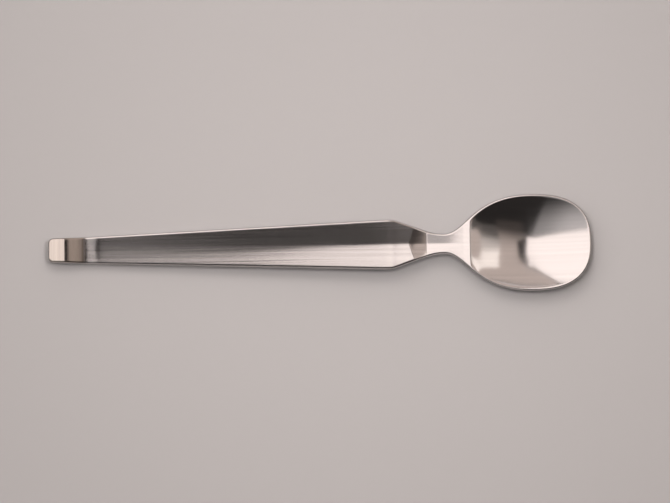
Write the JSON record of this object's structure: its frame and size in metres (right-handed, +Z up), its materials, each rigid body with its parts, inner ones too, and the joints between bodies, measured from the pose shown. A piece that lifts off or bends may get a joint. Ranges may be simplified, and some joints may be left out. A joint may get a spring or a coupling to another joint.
{
  "type": "baby spoon",
  "caption": "Baby spoon in brushed stainless steel: shallow rounded bowl, pinched neck, long tapered handle with a hollowed face, a wide shoulder and a stepped end.",
  "frame": {"origin": "middle of the spoon's length and width, on the surface that it rests on", "axes": "+X along the spoon from the handle's end to the front of the bowl, +Z up out of the bowl's hollow, +Y to the left seen from the handle's end"},
  "size_m": [0.14, 0.025, 0.0056],
  "materials": {
    "bowl_steel": "satin stainless steel, brushed lengthwise",
    "neck_steel": "satin stainless steel, brushed lengthwise",
    "handle_steel": "satin stainless steel, brushed lengthwise, crosswise on the end land"
  },
  "bodies": {
    "root": {"bowl": "bowl_steel", "neck": "neck_steel", "handle": "handle_steel"}
  },
  "joints": []
}
